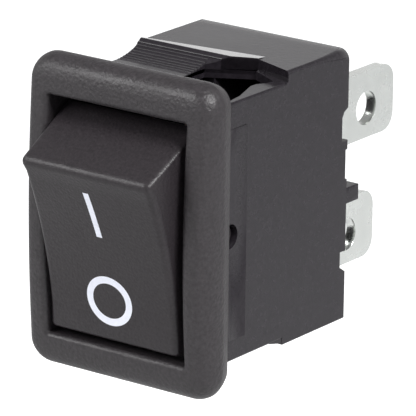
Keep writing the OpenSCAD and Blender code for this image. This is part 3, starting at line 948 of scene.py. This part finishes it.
def rib_tree():
    """Ribs across a latch: bars on the ramp z = foot + rise * (y / crest) ** 6, and their mirror image below."""
    tree, given, out = geometry_tree("latch_ribs", [
        ("Count", "NodeSocketInt", 15), ("First", "NodeSocketFloat", 0.0013), ("Pitch", "NodeSocketFloat", 0.00045),
        ("Radius", "NodeSocketFloat", 0.0001), ("Length", "NodeSocketFloat", 0.006),
        ("Middle", "NodeSocketFloat", -0.0032), ("Foot", "NodeSocketFloat", 0.0087),
        ("Rise", "NodeSocketFloat", 0.0009), ("Crest", "NodeSocketFloat", 0.0079),
        ("Material", "NodeSocketMaterial", None),
    ])
    value = given.outputs

    def math(operation, a, b):
        return added(tree, "ShaderNodeMath", {0: a, 1: b}, operation=operation).outputs[0]

    line = added(tree, "GeometryNodeMeshLine", {"Count": value["Count"]}).outputs["Mesh"]
    index = added(tree, "GeometryNodeInputIndex").outputs[0]
    depth = math("ADD", math("MULTIPLY", index, value["Pitch"]), value["First"])
    climb = math("POWER", math("DIVIDE", depth, value["Crest"]), 6.0)
    height = math("ADD", math("MULTIPLY", climb, value["Rise"]), value["Foot"])
    where = added(tree, "ShaderNodeCombineXYZ", {"X": value["Middle"], "Y": depth, "Z": height}).outputs[0]
    places = added(tree, "GeometryNodeSetPosition", {"Geometry": line, "Position": where}).outputs["Geometry"]
    shape = {"Vertices": 12, "Radius": value["Radius"], "Depth": value["Length"]}
    bar = added(tree, "GeometryNodeMeshCylinder", shape).outputs["Mesh"]
    across = added(tree, "GeometryNodeTransform", {"Geometry": bar, "Rotation": (0, pi / 2, 0)}).outputs["Geometry"]
    ribs = added(tree, "GeometryNodeInstanceOnPoints", {"Points": places, "Instance": across}).outputs["Instances"]
    below = added(tree, "GeometryNodeTransform", {"Geometry": ribs, "Scale": (1, 1, -1)}).outputs["Geometry"]
    both = added(tree, "GeometryNodeJoinGeometry", {"Geometry": ribs})
    tree.links.new(below, both.inputs["Geometry"])
    return painted(tree, both.outputs["Geometry"], given, out)


class SWITCH_OT_latch_ribs(bpy.types.Operator):
    """Grows the fine ribs on the ramps of the two snap latches"""

    bl_idname = "switch.latch_ribs"
    bl_label = "Grow Latch Ribs"

    def execute(self, context):
        size = context.scene.switch_latch
        ribs = grown("latch_ribs", rib_tree(), {
            "Count": size.count, "First": size.first * MM, "Pitch": size.pitch * MM, "Radius": size.radius * MM,
            "Length": 6.0 * MM, "Middle": -3.15 * MM,
            "Foot": RAMP_FOOT * MM, "Rise": RAMP_RISE * MM, "Crest": RAMP_CREST * MM,
            "Material": finishes()["latch_plastic"],
        })
        face_outwards(ribs.data)
        smooth(ribs.data, 40)
        seat(ribs, "housing", "body_plastic")
        return {"FINISHED"}


# ---------------------------------------------------------------- tabs, contacts and springs


class SWITCH_OT_terminals(bpy.types.Operator):
    """Makes the four tinned tabs with softened edges"""

    bl_idname = "switch.terminals"
    bl_label = "Make Terminals"

    def execute(self, context):
        material = finishes()["tinned_brass"]
        for kind in ("common", "load"):
            for side in ("left", "right"):
                node = f"{kind}_terminal_{side}"
                tab = solid_copy(f"{kind}_tab_{side}", node, material, 0.07)
                seat(tab, "housing", "tinned_brass", node)
        return {"FINISHED"}


class SWITCH_OT_contacts(bpy.types.Operator):
    """Makes the contact blades, their rivets and the plungers"""

    bl_idname = "switch.contacts"
    bl_label = "Make Contacts"

    def execute(self, context):
        look = finishes()
        for side in ("left", "right"):
            for name, slot, body, width in (
                ("contact_blade", "blade_copper", f"blade_{side}", 0.05),
                ("moving_contact", "contact_silver", f"blade_{side}", 0.05),
                ("fixed_contact", "contact_silver", "housing", 0.05),
                ("plunger", "plunger_plastic", f"plunger_{side}", 0.06),
            ):
                node = f"{name}_{side}"
                seat(solid_copy(f"{node}_piece", node, look[slot], width), body, slot, node)
        return {"FINISHED"}


def coil_tree():
    """A coil spring: a helix along Z swept with a round wire."""
    tree, given, out = geometry_tree("coil_spring", [
        ("Turns", "NodeSocketFloat", 9.0), ("Coil Radius", "NodeSocketFloat", 0.00058),
        ("Wire Radius", "NodeSocketFloat", 0.00013), ("Length", "NodeSocketFloat", 0.009),
        ("Material", "NodeSocketMaterial", None),
    ])
    value = given.outputs
    helix = added(tree, "GeometryNodeCurveSpiral", {
        "Resolution": 28, "Rotations": value["Turns"], "Height": value["Length"],
        "Start Radius": value["Coil Radius"], "End Radius": value["Coil Radius"],
    }).outputs["Curve"]
    section = {"Resolution": 10, "Radius": value["Wire Radius"]}
    wire = added(tree, "GeometryNodeCurvePrimitiveCircle", section).outputs["Curve"]
    sweep = added(tree, "GeometryNodeCurveToMesh", {"Curve": helix, "Profile Curve": wire, "Fill Caps": True})
    return painted(tree, sweep.outputs["Mesh"], given, out)


class SWITCH_OT_springs(bpy.types.Operator):
    """Winds the two plunger springs"""

    bl_idname = "switch.springs"
    bl_label = "Wind Springs"

    def execute(self, context):
        size = context.scene.switch_spring
        tree = coil_tree()
        reach = SPRING_END - SPRING_SEAT - 2 * size.wire
        lean = Matrix.Translation(PIVOT * MM) @ Matrix.Rotation(radians(LEAN), 4, "X")
        for side, name in ((-1, "left"), (1, "right")):
            spring = grown(f"spring_{name}", tree, {
                "Turns": size.turns, "Coil Radius": size.coil * MM, "Wire Radius": size.wire * MM,
                "Length": reach * MM, "Material": finishes()["spring_steel"],
            })
            start = Vector((side * POLE_X, SPRING_SEAT + size.wire, 0)) * MM
            spring.data.transform(lean @ Matrix.Translation(start) @ Matrix.Rotation(-pi / 2, 4, "X"))
            face_outwards(spring.data)
            smooth(spring.data, 60)
            ends = [lean @ (Vector((side * POLE_X, y, 0)) * MM) for y in (SPRING_SEAT, SPRING_END)]
            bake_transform(spring, "rocker", f"plunger_{name}", start=tuple(ends[0]), end=tuple(ends[1]))
            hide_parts(f"plunger_spring_{name}")
        return {"FINISHED"}


# ---------------------------------------------------------------- stage


def dim_overhead(tree, low, high, darkest):
    """White near the level and below it, darker from low to high (heights of a direction) overhead."""
    place = added(tree, "ShaderNodeTexCoord").outputs["Generated"]
    height = added(tree, "ShaderNodeSeparateXYZ", {0: place}).outputs["Z"]
    return spread(tree, height, 1.0, darkest, low, high)


def white_for_sight(tree, plain, mirrored, bright):
    """Mixes the light for matt surfaces with what glossy and clear rays see and what the camera sees."""
    path = added(tree, "ShaderNodeLightPath").outputs
    rays = {0: path["Is Glossy Ray"], 1: path["Is Transmission Ray"]}
    either = added(tree, "ShaderNodeMath", rays, operation="MAXIMUM").outputs[0]
    glossy = added(tree, "ShaderNodeMixShader", {"Fac": either, 1: plain, 2: mirrored}).outputs[0]
    return added(tree, "ShaderNodeMixShader", {"Fac": path["Is Camera Ray"], 1: glossy, 2: bright}).outputs[0]


def studio_world():
    """An even pale world that is white to the camera and dimmer overhead in reflections."""
    world = bpy.data.worlds.new("studio")
    world.use_nodes = True
    tree = world.node_tree
    plain = tree.nodes["Background"]
    plain.inputs["Color"].default_value = (0.95, 0.97, 1.0, 1)
    plain.inputs["Strength"].default_value = 0.4
    mirrored = added(tree, "ShaderNodeBackground", {"Strength": dim_overhead(tree, 0.16, 0.6, 0.42)})
    bright = added(tree, "ShaderNodeBackground", {"Color": (1, 1, 1, 1)})
    seen = white_for_sight(tree, plain.outputs[0], mirrored.outputs[0], bright.outputs[0])
    tree.links.new(seen, tree.nodes["World Output"].inputs["Surface"])
    return world


def floor_sheet():
    """Pale paper, brighter to the camera and a little in reflections, and clear from below."""
    sheet, tree, shader = new_material("floor_paper")
    shader.inputs["Base Color"].default_value = (0.62, 0.62, 0.62, 1)
    shader.inputs["Roughness"].default_value = 0.9
    path = added(tree, "ShaderNodeLightPath").outputs
    mirrored = added(tree, "ShaderNodeMath", {0: path["Is Glossy Ray"], 1: 0.16}, operation="MULTIPLY").outputs[0]
    shares = {0: path["Is Camera Ray"], 1: 0.66, 2: mirrored}
    lift = added(tree, "ShaderNodeMath", shares, operation="MULTIPLY_ADD").outputs[0]
    glow = added(tree, "ShaderNodeEmission", {"Strength": lift}).outputs[0]
    above = added(tree, "ShaderNodeAddShader", {0: shader.outputs[0], 1: glow}).outputs[0]
    clear = added(tree, "ShaderNodeBsdfTransparent").outputs[0]
    below = added(tree, "ShaderNodeNewGeometry").outputs["Backfacing"]
    seen = added(tree, "ShaderNodeMixShader", {0: below, 1: above, 2: clear}).outputs[0]
    tree.links.new(seen, tree.nodes["Material Output"].inputs["Surface"])
    return sheet


def make_floor(drop):
    """A wide square floor below the object."""
    half = 900
    corners = [Vector((x * half, y * half, -drop)) * MM for x, y in ((-1, -1), (1, -1), (1, 1), (-1, 1))]
    mesh = bpy.data.meshes.new("floor")
    mesh.from_pydata(corners, [], [(0, 1, 2, 3)])
    mesh.materials.append(floor_sheet())
    ground = bpy.data.objects.new("floor", mesh)
    bpy.context.scene.collection.objects.link(ground)


def make_camera(stage):
    """The camera, at its distance from the point it looks at, turned by its roll."""
    target = Vector((1.073, 6.0, -0.48))
    level = cos(stage.elevation)
    back = Vector((sin(stage.azimuth) * level, -cos(stage.azimuth) * level, sin(stage.elevation)))
    right = Vector((0, 0, 1)).cross(back).normalized()
    right = right * cos(stage.roll) + back.cross(right) * sin(stage.roll)
    data = bpy.data.cameras.new("camera")
    data.sensor_width = 36
    data.lens = stage.lens
    data.clip_start, data.clip_end = 0.01, 10
    camera = bpy.data.objects.new("camera", data)
    rows = Matrix((right, back.cross(right), back)).transposed().to_4x4()
    camera.matrix_world = Matrix.Translation((target + back * stage.distance) * MM) @ rows
    bpy.context.scene.collection.objects.link(camera)
    bpy.context.scene.camera = camera


def softbox(name, place, size, power):
    """A square area light, placed and sized in millimetres and turned to the middle of the object."""
    data = bpy.data.lights.new(name, "AREA")
    data.shape = "SQUARE"
    data.size = size * MM
    data.energy = power
    lamp = bpy.data.objects.new(name, data)
    spot = Vector(place) * MM
    lamp.location = spot
    lamp.rotation_euler = (Vector((0, 0.006, 0)) - spot).to_track_quat("-Z", "Y").to_euler()
    bpy.context.scene.collection.objects.link(lamp)


class SWITCH_OT_stage(bpy.types.Operator):
    """Sets the floor, the soft light and the camera"""

    bl_idname = "switch.stage"
    bl_label = "Set Stage"

    def execute(self, context):
        stage = context.scene.switch_stage
        make_camera(stage)
        context.scene.world = studio_world()
        make_floor(stage.floor_drop)
        softbox("key", (-168, -186, 150), 150, 0.55)
        softbox("rim", (206, -38, 214), 115, 1.15)
        softbox("back", (-168, 246, 28), 70, 0.014)
        context.scene.view_settings.view_transform = "Standard"
        return {"FINISHED"}


# ---------------------------------------------------------------- panel and registration

STEPS = [
    SWITCH_OT_stage,
    SWITCH_OT_bezel,
    SWITCH_OT_rocker,
    SWITCH_OT_marks,
    SWITCH_OT_body,
    SWITCH_OT_latch_ribs,
    SWITCH_OT_terminals,
    SWITCH_OT_contacts,
    SWITCH_OT_springs,
]


class SWITCH_PT_pieces(bpy.types.Panel):
    """Lists the steps that build the switch, and its settings"""

    bl_idname = "SWITCH_PT_pieces"
    bl_label = "Panel Rocker Switch"
    bl_space_type = "VIEW_3D"
    bl_region_type = "UI"
    bl_category = "Switch"

    def draw(self, context):
        for step in STEPS:
            self.layout.operator(step.bl_idname)
        for name, settings in SETTINGS.items():
            box = self.layout.box()
            for key in settings.__annotations__:
                box.prop(getattr(context.scene, name), key)


def register():
    for settings in SETTINGS.values():
        bpy.utils.register_class(settings)
    for name, settings in SETTINGS.items():
        setattr(bpy.types.Scene, name, PointerProperty(type=settings))
    for item in [*STEPS, SWITCH_PT_pieces]:
        bpy.utils.register_class(item)


def unregister():
    for item in reversed([*STEPS, SWITCH_PT_pieces]):
        bpy.utils.unregister_class(item)
    for name, settings in reversed(SETTINGS.items()):
        delattr(bpy.types.Scene, name)
        bpy.utils.unregister_class(settings)


def main():
    """Builds every piece in order."""
    register()
    for step in STEPS:
        family, name = step.bl_idname.split(".")
        getattr(getattr(bpy.ops, family), name)()


if __name__ == "__main__":
    main()
